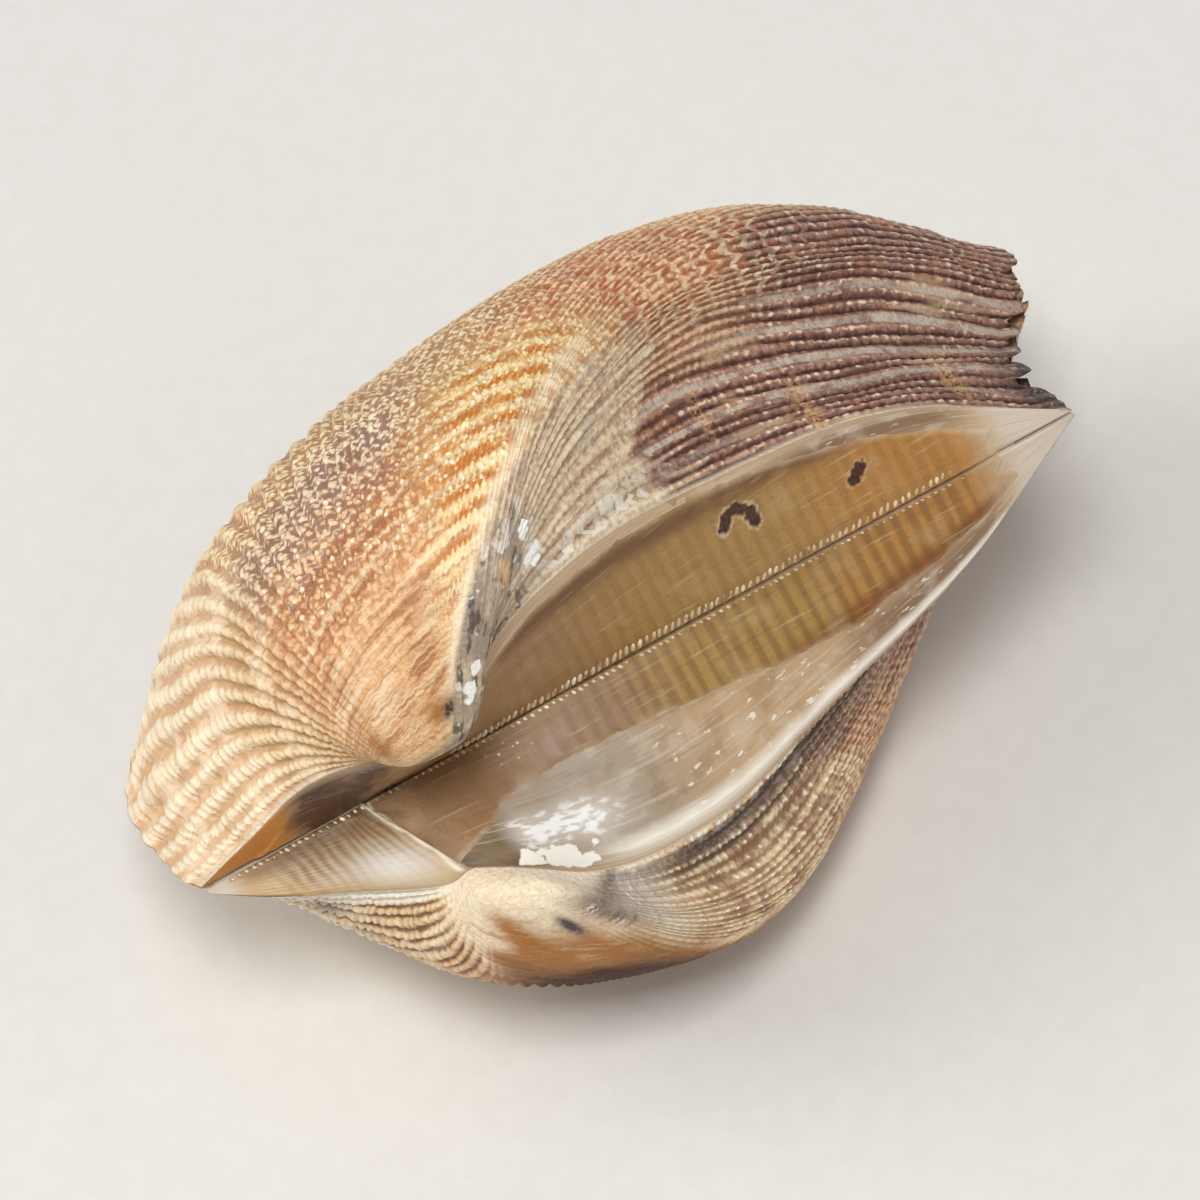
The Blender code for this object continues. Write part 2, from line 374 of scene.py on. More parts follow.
    def zones(self, size: Array, around: Array) -> dict[str, Array]:
        """Soft masks of the valve's coloured regions, 0 to 1."""
        left = self.side is Side.LEFT
        past_keel = around - np.interp(size, *zip(*self.keel))
        slope = ease(-0.01, 0.014 + 0.05 * ease(0.28, 0.5, size), past_keel)
        front = 1 - ease(0.25, 0.36, around)
        flank = 1 - slope
        late = ease(-0.008, 0.01, size - self.check(around))
        high = ease(0.58, 0.7, size) * ease(0.69, 0.76, around)
        low = late * ease(0.83, 0.9, around)
        drift = 0.014 * rumple(91, around * 8, size * 9)
        middle = ease(0.26, 0.39, around + 3 * drift) * (1 - ease(0.6, 0.72, around + 2 * drift))
        beak = 1 - ease(0.15, 0.24, size)
        bare = hill(0.08, 0.03, around) * hill(0.57, 0.06, size)
        chips = (hill(0.124, 0.014, size) * hill(0.653, 0.03, around)
                 + hill(0.246, 0.009, size) * hill(0.79, 0.03, around)
                 + hill(0.256, 0.012, size) * hill(0.897, 0.025, around))
        zones = {
            "slope": slope,
            "front": front,
            "low_front": front * (1 - ease(0.4, 0.55, size)),
            "umbo": flank * (1 - ease(0.16, 0.3, size)),
            "mauve": ease(0.27, 0.36, size) * (1 - ease(0.42, 0.53, size)) * ease(0.25, 0.34, around)
                     * (1 - ease(0.47, 0.58, around)) * (not left),
            "streak": ease(0.07, 0.16, size) * (1 - ease(0.34, 0.44, size)) * ease(0.16, 0.32, around) * flank,
            "keel_line": hill(-0.013, 0.017, past_keel) * ease(0.08, 0.14, size) * (1 - ease(0.4, 0.5, size)),
            "amber": ease(0.15, 0.22, size) * (1 - ease(0.4, 0.5, size)) * ease(0.5, 0.61, around) * flank,
            "russet": ease(0.42, 0.52, size) * ease(0.57, 0.66, around) * (1 - ease(0.77, 0.82, around))
                      * (1 - 0.8 * ease(0.6, 0.74, size)),
            "zigzag": ease(0.45, 0.52, size) * ease(0.64, 0.71, around) * (1 - ease(0.79, 0.86, around))
                      * (1 - ease(0.66, 0.8, size)),
            "striped": ease(0.8, 0.86, around) * (1 - ease(0.955, 0.97, around)),
            "ashen": slope * (1 - late),
            "washed": slope * (1 - late) * (0.3 if left else 1),
            "crust": ease(0.93, 0.99, size) * ease(0.84, 0.93, around),
            "brown": late * slope,
            "plum": np.maximum(high, low) * (0.55 if left else 1),
            "grain": 0.12 + 0.6 * ease(0.25, 0.36, around) * flank * ease(0.22, 0.32, size)
                     * (1 - ease(0.5, 0.72, size)) * (1 - 0.6 * ease(0.6, 0.68, around) * ease(0.42, 0.5, size)),
            "growth_mark": late * (hill(0.685, 0.012, size) * ease(0.9, 0.96, around)
                                   + hill(0.552, 0.006, size) * hill(0.92, 0.035, around)
                                   + hill(0.89, 0.012, size) * hill(0.95, 0.03, around)),
            "border_pale": hill(0.965, 0.03, around) * ease(0.2, 0.3, size) * (1 - ease(0.42, 0.5, size)),
            # Groove by the rear border, and on the left valve a dent on the front: relief cuts them, and their
            # near-black colour is painted shade.
            "crevice": hill(0.957, 0.013, around) * ease(0.1, 0.3, size) * (1 if left else 0.25)
                       + (0.6 * bare if left else 0),
            "rim": ease(0.99, 0.998, around) + 1 - ease(0.002, 0.01, around),
        }
        if left:
            zones.update({
                "cream": np.maximum(beak, 1 - ease(0.03, 0.05, around)) + (1 - beak) * slope * 0.5
                         * (1 - ease(0.3, 0.5, size)) * (1 - ease(0.8, 0.9, around)),
                "lip": 1 - ease(0.03, 0.05, around) + beak * ease(0.68, 0.8, around) * 0.7,
                "ochre": 1.2 * ease(0.08, 0.19, size + drift) * (1 - ease(0.27, 0.45, size)) * middle
                         + 0.45 * hill(0.125, 0.034, size) * hill(0.36, 0.08, around),
                "sepia": 1.2 * ease(0.165, 0.24, size + drift) * (1 - ease(0.26, 0.5, size))
                         * ease(0.28, 0.42, around) * (1 - ease(0.54, 0.68, around)),
                "rusty": slope * (1 - late) * ease(0.16, 0.26, size),
                "dark_spot": hill(0.12, 0.015, size) * hill(0.545, 0.026, around),
                "furrow": ease(0.12, 0.24, size) * np.maximum(front, 0.35 * slope * (1 - late)),
                "crease": hill(0.085 + 0.17 * (around - 0.62), 0.013, size) * ease(0.62, 0.74, around),
                # Bands by the left valve's rear border whose grooves are darkened as painted shade.
                "gully": (0.9 * hill(0.925, 0.022, around) + 0.5 * hill(0.875, 0.01, around)) * ease(0.1, 0.26, size),
                "smudge": 1.2 * hill(0.118 + 0.17 * (around - 0.68), 0.034, size) * ease(0.56, 0.74, around + 2 * drift)
                          * (1 - ease(0.96, 0.99, around)),
            })
        else:
            zones.update({
                "ochre": hill(0.14, 0.028, size) * hill(0.283, 0.04, around)
                         + hill(0.125, 0.012, size) * hill(0.5, 0.03, around),
                "brown_spot": hill(0.12, 0.009, size) * hill(0.545, 0.026, around)
                              + 0.5 * hill(0.075, 0.008, size) * ease(0.3, 0.4, around),
                "pale_tip": (1 - ease(0.065, 0.1, size)) * flank,
                "stained": flank * (1 - ease(0.16, 0.3, size)),
                "glassy": slope * (1 - ease(0.2, 0.31, size)),
                "chip": hill(0.202, 0.009, size) * hill(0.78, 0.035, around),
                "white_chip": chips,
            })
        return zones

    def relief(self, size: Array, around: Array, ribs: Array, beads: Array) -> tuple[Array, Array]:
        """Depth below the smooth outside.

        Args:
            size: Growth stage.
            around: Place round the margin.
            ribs: Rib count.
            beads: Bead count.

        Returns:
            The depth in millimetres, and the crest height from 0 in a groove to 1 on a bead.
        """
        zone = self.zones(size, around)
        front, slope = zone["front"], zone["slope"]
        flank = (1 - front) * (1 - slope)
        left = self.side is Side.LEFT
        single = (0.5 + 0.5 * np.cos(math.pi * ribs)) ** 0.6
        crest = (0.5 + 0.5 * np.cos(math.tau * ribs)) ** 0.6
        crest = crest + (single - crest) * slope * (1 - ease(0.4, 0.52, size))
        fine = 0.5 + 0.5 * np.cos(math.tau * beads)
        broad = 0.5 + 0.5 * np.cos(math.tau * beads / 2 + 1.8 * rumple(9, ribs / 2, beads / 8))
        bead = fine + (broad - fine) * front
        smooth_rib = zone["plum"] * zone["striped"] * (0.5 + 0.5 * np.cos(math.tau * self.stripes(ribs, beads))) ** 4
        beaded = (0.42 * front + (0.4 + 0.15 * left * slope) * (1 - front)) * (1 - 0.8 * smooth_rib)
        height = crest * (1 - beaded * (1 - bead))
        height = height + (0.55 - height) * smooth_rib
        coarse = ease(0.02, 0.09, around) * (1 - ease(0.36, 0.52, around))
        cut = (0.26 + 0.4 * coarse) * (1 - slope) + 0.38 * slope
        cut = cut * size**0.5 * ease(0.1, 0.3, size) * (1 - np.clip(zone["rim"], 0, 1))
        cut = cut * (1 - 0.6 * ease(0.965, 1, size)) * (1 - 0.7 * flank * (1 - ease(0.18, 0.32, size)))
        cut = cut * (1 + 0.32 * rumple(23, ribs / 1.5, beads / 5))
        cut = cut * (1 - 0.4 * front * ease(0, 0.8, rumple(41, around * 9, size * 7)))
        steps = np.mod(beads / 6.5 + 0.3 * rumple(11, ribs / 14, beads / 14), 1)
        terrace = 0.14 * size * (1 - ease(0, 0.85, steps)) * (1 - 0.5 * slope)
        check = self.check(around)
        terrace = terrace + 0.16 * (size > check) * np.exp(-np.clip(size - check, 0, 1) / 0.035) * slope
        crevice = 0.7 * size * np.clip(zone["crevice"], 0, 1)
        dents = 0.12 * size * (1 + rumple(17 + self.side.value, beads / 16, ribs / 12)) / 2
        inset = self.inset * ease(0.08, 0.22, size)
        knob = self.knob * (1 - ease(0.05, 0.13, size)) * left
        return inset + cut * (1 - height) + terrace + crevice + dents - knob, height

    def worn(self, size: Array, around: Array) -> Array:
        """Share by which the ribs' colour has been rubbed off, most by the beaks and on the rear slope."""
        zone = self.zones(size, around)
        left = self.side is Side.LEFT
        front = 1 - ease(0.12, 0.26, size)
        flank = 1 - ease(0.22, 0.42, size)
        slope = 1 - ease(0.1, 0.2, size) if left else np.maximum(0.6 * (1 - ease(0.42, 0.5, size)), flank)
        rubbed = front + (flank - front) * (1 - zone["front"])
        return rubbed + (slope - rubbed) * zone["slope"]

    def check(self, around: Array) -> Array:
        """Growth stage at which the rear slope paused and changed colour."""
        return 0.505 - 0.05 * ease(0.82, 0.92, around) + 0.006 * rumple(29, around * 22, 0 * around)

    def stripes(self, ribs: Array, beads: Array) -> Array:
        """Count of the smooth pale stripes of the rear slope, one to three ribs."""
        start = np.interp(0.878, *self.rib_table())
        return (ribs - start) / 3 + 0.07 * rumple(37, ribs / 3, beads / 25)


@dataclass
class Valve:
    """One valve: ribbed outside, flat hinge area, hinge teeth, smooth inside and the rim between."""

    side: Side
    form: GrowthForm = FORM
    hinge_steps: int = 12
    inner_rows_step: int = 9
    inner_columns_step: int = 2
    inner_hinge_steps: int = 3
    inner_smallest: float = 0.12
    tooth_pitch: float = 0.47
    tooth_end: float = 37.5

    @property
    def tooth_start(self) -> float:
        """Place of the first tooth that shows."""
        return 1.2 if self.side is Side.RIGHT else -14.6

    @property
    def tooth_size(self) -> tuple[float, float, float]:
        """Half the length across the hinge, half the width along it and half the height of a tooth."""
        return (0.46, 0.16, 0.18) if self.side is Side.RIGHT else (0.17, 0.15, 0.12)

    def flip(self, points: Array) -> Array:
        """Points of the right valve moved half the gap out and, on the left valve, mirrored."""
        return (points + (0, self.form.gap / 2, 0)) * (1, self.side.value, 1)

    def shrink(self, points: Array) -> Array:
        """Points of the outside drawn in to the inside of the wall."""
        centre = np.array(self.form.cavity_centre)
        inner = centre + (points - centre) * self.form.cavity_share
        inner[..., 1] = np.maximum(inner[..., 1], 0)
        return inner

    def outside(self, patch: Patchwork) -> tuple[Array, Array, Array]:
        """Add the ribbed outside.

        Args:
            patch: Where the points and faces go.

        Returns:
            The grid's point indices, its smooth points and its sizes.
        """
        sculpture = Sculpture(self.side, self.form)
        around, ribs = sculpture.columns()
        rows, beads = sculpture.rows(self.inner_rows_step)
        notch = sculpture.margin_notch(around, ribs)
        size = rows[:, None] * (1 - notch[None] * ease(0.88, 1, rows)[:, None])
        around, ribs = sculpture.bend(size, around[None]), ribs[None] + 0 * size
        beads = beads[:, None] + 0.14 * rumple(7, ribs / 3, beads[:, None] / 9)
        points = self.form.surface(size, around)
        normal = np.cross(np.gradient(points, axis=1), np.gradient(points, axis=0))
        normal /= np.maximum(np.linalg.norm(normal, axis=-1, keepdims=True), 1e-9)
        depth, crest = sculpture.relief(size, around, ribs, beads)
        sunk = normal * depth[..., None]
        sunk[..., 1] *= ease(0, 1.2, points[..., 1])
        carved = points - sunk
        carved[..., 1] = np.maximum(carved[..., 1], 0)
        worn = sculpture.worn(size, around)
        values = {"size": size, "around": around, "rib": ribs, "bead": beads, "stripe": sculpture.stripes(ribs, beads),
                  "crest": crest + worn * (0.6 - crest)}
        values.update(sculpture.zones(size, around))
        index = patch.lay(self.flip(carved), values)
        patch.quads(index, 0)
        return index, points, size

    def hinge_area(self, patch: Patchwork, border: Array, places: Array, steps: int, inner: bool) -> Array:
        """Add half of the flat area between a border and the hinge line, on the outside or the inside.

        Args:
            patch: Where the points and faces go.
            border: Point indices along the border, from the beak outwards.
            places: The border's smooth points, before any shrinking.
            steps: Steps from the border to the hinge line.
            inner: Whether this is the inside.

        Returns:
            Grid of point indices, from the beak outwards and from the border to the hinge line.
        """
        share = np.linspace(0, 1, steps + 1)[1:]
        foot = self.form.hinge_foot(places[:, 0])
        points = places[:, None] + share[None, :, None] * (foot - places)[:, None]
        across = 1 - share[None] + 0 * points[..., 0]
        along = places[:, :1] + 0 * across
        values = {"across": across, "along": along, "area": 1.0}
        values.update(HingeColours(self.side).zones(along, across))
        index = patch.lay(self.flip(self.shrink(points) if inner else points), values)
        index = np.c_[border, index]
        index[-1] = index[-1, 0]
        patch.quads(index, 3 if inner else 1)
        return index

    def teeth(self, patch: Patchwork) -> None:
        """Add the small hinge teeth that stand along the hinge line, worn lower towards the rear."""
        rng = np.random.default_rng(40 + self.side.value)
        turn = np.linspace(0, math.tau, 9)[:-1]
        tilt = np.radians((-62, -22, 22, 62))
        ball = np.stack([np.cos(tilt)[:, None] * np.cos(turn), np.cos(tilt)[:, None] * np.sin(turn),
                         np.sin(tilt)[:, None] + 0 * turn[None]], axis=-1)
        place = self.tooth_start
        length, width, height = self.tooth_size
        while place < self.tooth_end:
            away = self.form.border(np.array([place]))[0] - (place, 0, 0)
            away /= np.linalg.norm(away)
            up = np.cross((1, 0, 0), away)
            worn = 1 - 0.4 * ease(12, 30, place)
            long, wide, high = np.array((length * worn, width, height * worn)) * rng.uniform(0.8, 1.15, 3)
            lean = away + (rng.uniform(0.3, 0.55), 0, 0)
            axes = np.stack([lean * long, (wide, 0, 0), up * high])
            centre = (place, 0, 0) + away * (long + rng.uniform(0, 0.05)) + up * 0.08
            index = patch.lay(self.flip(centre + ball @ axes), {})
            patch.quads(np.c_[index, index[:, 0]], 2)
            patch.close(index[0], 2)
            patch.close(index[-1], 2)
            place += self.tooth_pitch * rng.uniform(0.85, 1.15)

    def ends(self, patch: Patchwork, sheet: Array, front: Array, rear: Array, slots: tuple[int, int]) -> None:
        """Close the beak's tip, and the narrow strip of the hinge area under it."""
        patch.close(sheet[0], slots[0])
        patch.quads(np.stack([front[0], rear[0]]), slots[1])

    def build(self, finishes: Sequence[bpy.types.Material]) -> bpy.types.Object:
        """The whole valve as one closed piece with its finishes."""
        patch = Patchwork()
        index, points, size = self.outside(patch)
        front, rear = (self.hinge_area(patch, index[:, end], points[:, end], self.hinge_steps, False)
                       for end in (0, -1))
        self.ends(patch, index, front, rear, (0, 1))
        self.teeth(patch)

        rows = np.arange(0, len(points), self.inner_rows_step)
        rows = rows[size[rows, 0] > self.inner_smallest]
        grid = points[rows][:, ::self.inner_columns_step]
        inner = patch.lay(self.flip(self.shrink(grid)), {})
        patch.quads(inner, 3)
        inner_front, inner_rear = (self.hinge_area(patch, inner[:, end], grid[:, end], self.inner_hinge_steps, True)
                                   for end in (0, -1))
        self.ends(patch, inner, inner_front, inner_rear, (3, 3))
        first = rows[0]
        patch.bridge(index[-1], inner[-1], 0)
        patch.bridge(front[first:, -1], inner_front[:, -1], 3)
        patch.bridge(rear[first:, -1], inner_rear[:, -1], 3)
        patch.close([*front[first::-1, -1], *rear[:first + 1, -1], inner_rear[0, -1], inner_front[0, -1]], 3)
        return patch.build(self.side.node + "_shell", finishes)


@dataclass(frozen=True)
class HingeColours:
    """Where the bare hinge area changes colour, by place along the hinge and share out to the border."""

    side: Side

    def zones(self, along: Array, across: Array) -> dict[str, Array]:
        """Soft masks of the bare hinge area, 0 to 1."""
        left = self.side is Side.LEFT
        front = 1 - ease(-2.2, -1.0, along)
        orange = 1 - ease(-10.5, -8, along)
        unrimmed = 1 - ease(0.9, 0.97, across)
        fan = along * (1 + 0.12 * across) + 0.12 * rumple(81, along / 3, across * 2)
        zones = {
            "area_front": front,
            "area_rim": ease(0.84, 0.92, across) * ease(5, 9, along) if left else ease(0.9, 0.98, across),
            "area_tip": ease(38.5, 41.5, along) + 1 - ease(-15.6, -13.5, along) * left - (not left),
            "area_lilac": hill(0.8, 0.16, across) * ease(24, 29, along) * (1 - ease(37, 40, along)),
            "area_flecks": ease(10, 14, along) * ease(0.35, 0.5, across) * (1 - ease(30, 38, along)),
        }
        if left:
            zones.update({
                "area_grey": (1 - front) * (1 - ease(9, 17, along)),
                "area_umber": front * (1 - ease(0.1, 0.62, across)) * ease(-15.5, -13, along),
                "area_shade": front * (1 - ease(0.0, 0.3, across)) * ease(-14, -10, along),
                "area_stripe": front * (0.5 + 0.5 * np.cos(math.tau * fan / 0.85))
                               * (1 - ease(0.5, 1.0, across)) * ease(-13.5, -10, along),
                "area_glow": hill(-4.8, 3.4, along) * hill(0.68, 0.24, across) * front,
                "area_cream": hill(0.93 - 0.012 * (along - 1.5), 0.1, across) * ease(0.3, 3, along)
                              * (1 - ease(4.5, 10, along)),
                # White patch on the left half: painted highlight of a lamp on the glossy hinge area.
                "area_bloom": ease(1.8, 3.4, along) * (1 - ease(6.5, 11, along)) * hill(0.68, 0.14, across),
                "area_glass": ease(-1.1, -0.8, along) * (1 - ease(2.8, 3.8, along)) * ease(0.4, 0.55, across),
                # The pale line on the left ridge is painted highlight of its edge, and the dark line just to the rear
                # of it is painted shadow of the ridge.
                "area_ridge": hill(-1.5, 0.2, along + 0.2 * rumple(82, across * 9, 0 * across)),
                "area_seam": hill(-1.0, 0.22, along + 0.15 * rumple(83, across * 8, 0 * across)),
            })
        else:
            zones.update({
                "area_rust": front * orange * unrimmed,
                # Dark brown on the right front of the hinge area is painted shadow of the right beak.
                "area_dusk": front * (1 - orange) * unrimmed,
            })
        return zones


@dataclass
class LigamentFilm:
    """The dried film over the hinge: a thin closed sheet with the hinge teeth and the bare shell showing past it."""

    form: GrowthForm = FORM
    ends: tuple[float, float] = (-13.5, 41.0)
    right_edge: Knots = ((-13.5, 0.1), (-12, 0.25), (-10, 0.55), (-8, 0.8), (-5, 0.92), (2, 0.92), (12, 0.94),
                         (22, 0.95), (26, 0.93), (30, 0.85), (35, 0.74), (38, 0.64), (41, 0.5))
    left_edge: Knots = ((-13.5, 0.3), (-1.4, 0.3), (-1.2, 0.88), (-0.4, 0.82), (2.3, 0.6), (3.4, 0.46), (5.5, 0.37),
                        (10, 0.345), (14, 0.375), (18.7, 0.46), (23, 0.57), (27.5, 0.69), (30, 0.65), (33, 0.69),
                        (41, 0.72))
    along_steps: int = 480
    across_steps: int = 128
    crowding: float = 0.5
    under_step: int = 8
    stand: float = 0.12
    thickness: float = 0.3
    overlap: float = 0.6
    stripe_pitch: float = 1.02
    hook_chip: Knots = ((22.4, 5.45), (22.9, 6.2), (23.6, 6.35), (24.3, 5.6), (24.35, 4.6))
    leaf_chip: Knots = ((31.0, 3.3), (31.7, 3.9))

    def base(self, along: Array, share: Array) -> tuple[Array, Array]:
        """Points of the two flat hinge areas, and the distance out from the hinge line.

        Args:
            along: Places along the hinge.
            share: Share of the way to the border, above 0 on the right valve and below 0 on the left.

        Returns:
            The points, and the signed distance in millimetres.
        """
        border = self.form.border(along)
        foot = self.form.hinge_foot(along)
        points = foot + np.abs(share)[..., None] * (border - foot)
        out = share * np.linalg.norm(border - foot, axis=-1)
        points[..., 1] = points[..., 1] * np.sign(share) + self.form.gap / 2 * np.tanh(out / 0.15)
        return points, out

    def stroke(self, along: Array, out: Array, path: Knots, seed: int) -> Array:
        """Distance from a bent line drawn on the film, made a little uneven."""
        nearest = np.full(along.shape, 1e9)
        for (x0, y0), (x1, y1) in zip(path, path[1:]):
            dx, dy = x1 - x0, y1 - y0
            t = np.clip(((along - x0) * dx + (out - y0) * dy) / (dx * dx + dy * dy), 0, 1)
            nearest = np.minimum(nearest, np.hypot(along - x0 - t * dx, out - y0 - t * dy))
        return nearest + 0.09 * rumple(seed, along / 0.7, out / 0.7)

    def build(self, finishes: Sequence[bpy.types.Material]) -> bpy.types.Object:
        """The film as one closed piece with its finish."""
        along = np.linspace(*self.ends, self.along_steps + 1)[:, None]
        right = np.interp(along, *zip(*self.right_edge))
        left = np.interp(along, *zip(*self.left_edge))
        share = np.linspace(-1, 1, self.across_steps + 1)[None]
        share = share * np.abs(share) ** self.crowding * np.where(share > 0, right + 0.02, left + 0.03)
        along = along + 0 * share
        points, out = self.base(along, share)
        span = np.linalg.norm(self.form.border(along) - self.form.hinge_foot(along), axis=-1)
        ragged = 0.07 * rumple(51, along / 2.6, 0 * along) + 0.02 * rumple(52, along / 0.5, 0 * along)
        inside = np.where(share > 0, (right - share) * span, (left + share) * span) + ragged
        ends = np.minimum(along - self.ends[0] - 0.5, self.ends[1] - along - 0.6
                          - 0.5 * np.cos(share * 3)) + 0.3 * rumple(53, 0 * out, out / 1.6)
        inside = np.minimum(inside, ends)
        bare = (1 - ease(-1.75, -1.45, along)) * (out < 0)
        hook = self.stroke(along, out, self.hook_chip, 61)
        leaf = self.stroke(along, out, self.leaf_chip, 62)
        chip = np.maximum(1 - ease(0.36, 0.44, hook), 1 - ease(0.38, 0.46, leaf))
        chip_rim = np.maximum(hill(0.52, 0.07, hook), 0.6 * hill(0.52, 0.05, leaf))
        gap = np.abs(out)
        band = ease(0.05, 0.2, gap) * (1 - ease(0.95, 1.15, gap)) * ease(-3.8, -3.2, along) * (1 - ease(35.5, 38, along))
        # A raised crease on the left front of the film; its cream colour is painted highlight of the crease's edge.
        crease = hill(-1.5, 0.12, along + 0.16 * rumple(54, 0 * out, out / 1.2)) * (out < -0.3) * (1 - bare)
        stripes = np.cos(math.tau * (along + 0.15 * rumple(55, along / 9, out / 5)) / self.stripe_pitch)
        height = self.stand + 0.012 * stripes + 0.03 * rumple(56, along / 7, out / 3)
        height = height + 0.008 * np.cos(math.tau * share / 0.09) * ease(0.4, 0.8, np.abs(share)) + 0.15 * crease
        height = height - 0.015 * band - 0.16 * hill(0, 0.06, out) - 0.07 * chip + 0.03 * chip_rim
        height = height - (self.stand + 0.12) * (1 - ease(0, self.overlap, inside)) - 0.4 * bare
        normal = np.cross(np.gradient(points, axis=0), np.gradient(points, axis=1))
        normal /= np.linalg.norm(normal, axis=-1, keepdims=True)
        values = {"along": along, "across": share, "out": out, "stripe": along / self.stripe_pitch, "chip": chip,
                  "chip_rim": chip_rim, "crease": crease, "band": band,
                  "edge": (1 - ease(0, 0.8, inside)) * ease(-6, -2, along)}
        values.update(self.zones(along, share, out))
        patch = Patchwork()
        top = patch.lay(points + normal * height[..., None], values)
        patch.quads(top, 0)
        step = self.under_step
        low = points + normal * (height - self.thickness)[..., None]
        under = patch.lay(low[::step, ::step], {})
        patch.quads(under, 0)
        for fine, coarse in ((top[0], under[0]), (top[-1], under[-1]), (top[:, 0], under[:, 0]),
                             (top[:, -1], under[:, -1])):
            patch.bridge(fine, coarse, 0)
        return patch.build("dried_ligament", finishes)

    def zones(self, along: Array, share: Array, out: Array) -> dict[str, Array]:
        """Soft masks of the film's colours, 0 to 1."""
        right = ease(-0.05, 0.05, share)
        front = 1 - ease(-2.6, -1.4, along)
        wave = 0.8 * rumple(71, along / 12, out / 5)
        speck = hill(5.2, 1.0, along) * hill(-1.6, 0.6, out)
        return {
            # Dark brown on the film in front of the beaks is painted shadow of the right beak.
            "dusk": (1 - ease(-3.0, -0.2, along + 0.5 * rumple(72, along / 2, out / 1.5)))
                    * ease(-11.5, -8, along + wave),
            "front_orange": front * (1 - ease(-11.5, -8, along + wave)),
            "taupe": right * (1 - front) * (1 - ease(6, 17, along + 2 * wave)),
            # The left half of the film is painted darker than the right: painted shade.
            "fawn": (1 - right) * (1 - front) * (1 - ease(9, 17, along + 2 * wave)),
            "olive": (1 - right) * ease(9, 17, along + wave) * (1 - ease(26, 31, along)),
            "amber": ease(24, 33, along + wave),
            "umber": right * hill(0.84, 0.11, share + 0.03 * wave) * ease(3, 9, along) * (1 - ease(31, 38, along)),
            "rust": (1 - right) * ease(19, 25, along) * ease(0.4, 0.56, -share),
            "stripes": ease(2, 14, along) * (1 - ease(36, 40, along)) * (0.45 + 0.55 * (1 - right))
                       * (1 - ease(0.65, 0.85, np.abs(share))),
            "speck": speck,
            "faded": ease(37.2, 40.2, along + 0.5 * wave),
            "notch": hill(0.3, 1.1, along) * hill(0.1, 0.5, out),
            "line": hill(0, 0.06, out) * ease(-14, -12, along),
        }


def linear(code: str) -> tuple[float, float, float, float]:
    """Linear colour of an sRGB hex code."""
    shares = [int(code[i:i + 2], 16) / 255 for i in (1, 3, 5)]
    red, green, blue = (s / 12.92 if s <= 0.04045 else ((s + 0.055) / 1.055) ** 2.4 for s in shares)
    return red, green, blue, 1.0


Socket = bpy.types.NodeSocket
WAVE = math.tau / 20


class Recipe:
    """Node tree of one material, put together node by node."""

    def __init__(self, name: str) -> None:
        """Start an empty material of this name."""
        self.material = bpy.data.materials.new(name)
        self.material.use_nodes = True
        self.tree = self.material.node_tree
        self.tree.nodes.clear()

    def add(self, kind: str, inputs: dict[str | int, Any], out: str = "", **settings: Any) -> Socket:
        """Add a node with its settings and links.

        Args:
            kind: The node's type, without its first words.
            inputs: Input name or place, with what goes in, in any form that wire takes.
            out: Name of the output wanted, or nothing for the first.
            settings: Properties of the node.

        Returns:
            The output.
        """
        node = self.tree.nodes.new("ShaderNode" + kind)
        for key, value in settings.items():
            setattr(node, key, value)
        for key, value in inputs.items():
            socket = node.inputs[key] if isinstance(key, int) else next(
                s for s in node.inputs if s.enabled and s.name == key)
            value = self.wire(value)
            if isinstance(value, Socket):
                self.tree.links.new(value, socket)
            else:
                socket.default_value = value
        return next((s for s in node.outputs if s.enabled and out in ("", s.name)), None)

    def wire(self, value: Any) -> Any:
        """Turn a short form into what goes in an input.

        Args:
            value: A hex colour, the name of a painted value, a list of factors to multiply, or a tuple of any of
                these with the range it is read over and the one it is taken to; anything else stays as it is.

        Returns:
            A socket to link, or a plain value.
        """
        if isinstance(value, str):
            return linear(value) if value[0] == "#" else self.add("Attribute", {}, "Fac", attribute_name=value)
        if isinstance(value, list):
            *factors, last = value
            return self.add("Math", {0: factors, 1: last}, operation="MULTIPLY") if factors else self.wire(last)
        if isinstance(value, tuple) and not isinstance(value[0], float):
            ranges = (*value[1:], 0, 1)[:4]
            names = ("From Min", "From Max", "To Min", "To Max")
            return self.add("MapRange", {"Value": value[0], **dict(zip(names, ranges))},
                            interpolation_type="SMOOTHSTEP")
        return value

    def layered(self, base: Socket | str, layers: Sequence[tuple[Any, ...]]) -> Socket:
        """Colours laid over the base one after another, each followed by the factors that say where."""
        for colour, *where in layers:
            base = self.add("Mix", {"Factor": where, "A": base, "B": colour}, data_type="RGBA")
        return base

    def finish(self, **inputs: Any) -> bpy.types.Material:
        """Give the material its surface, with inputs in place of underscored names, and return it."""
        shader = self.add("BsdfPrincipled", {key.replace("_", " "): value for key, value in inputs.items()})
        self.add("OutputMaterial", {"Surface": shader})
        return self.material


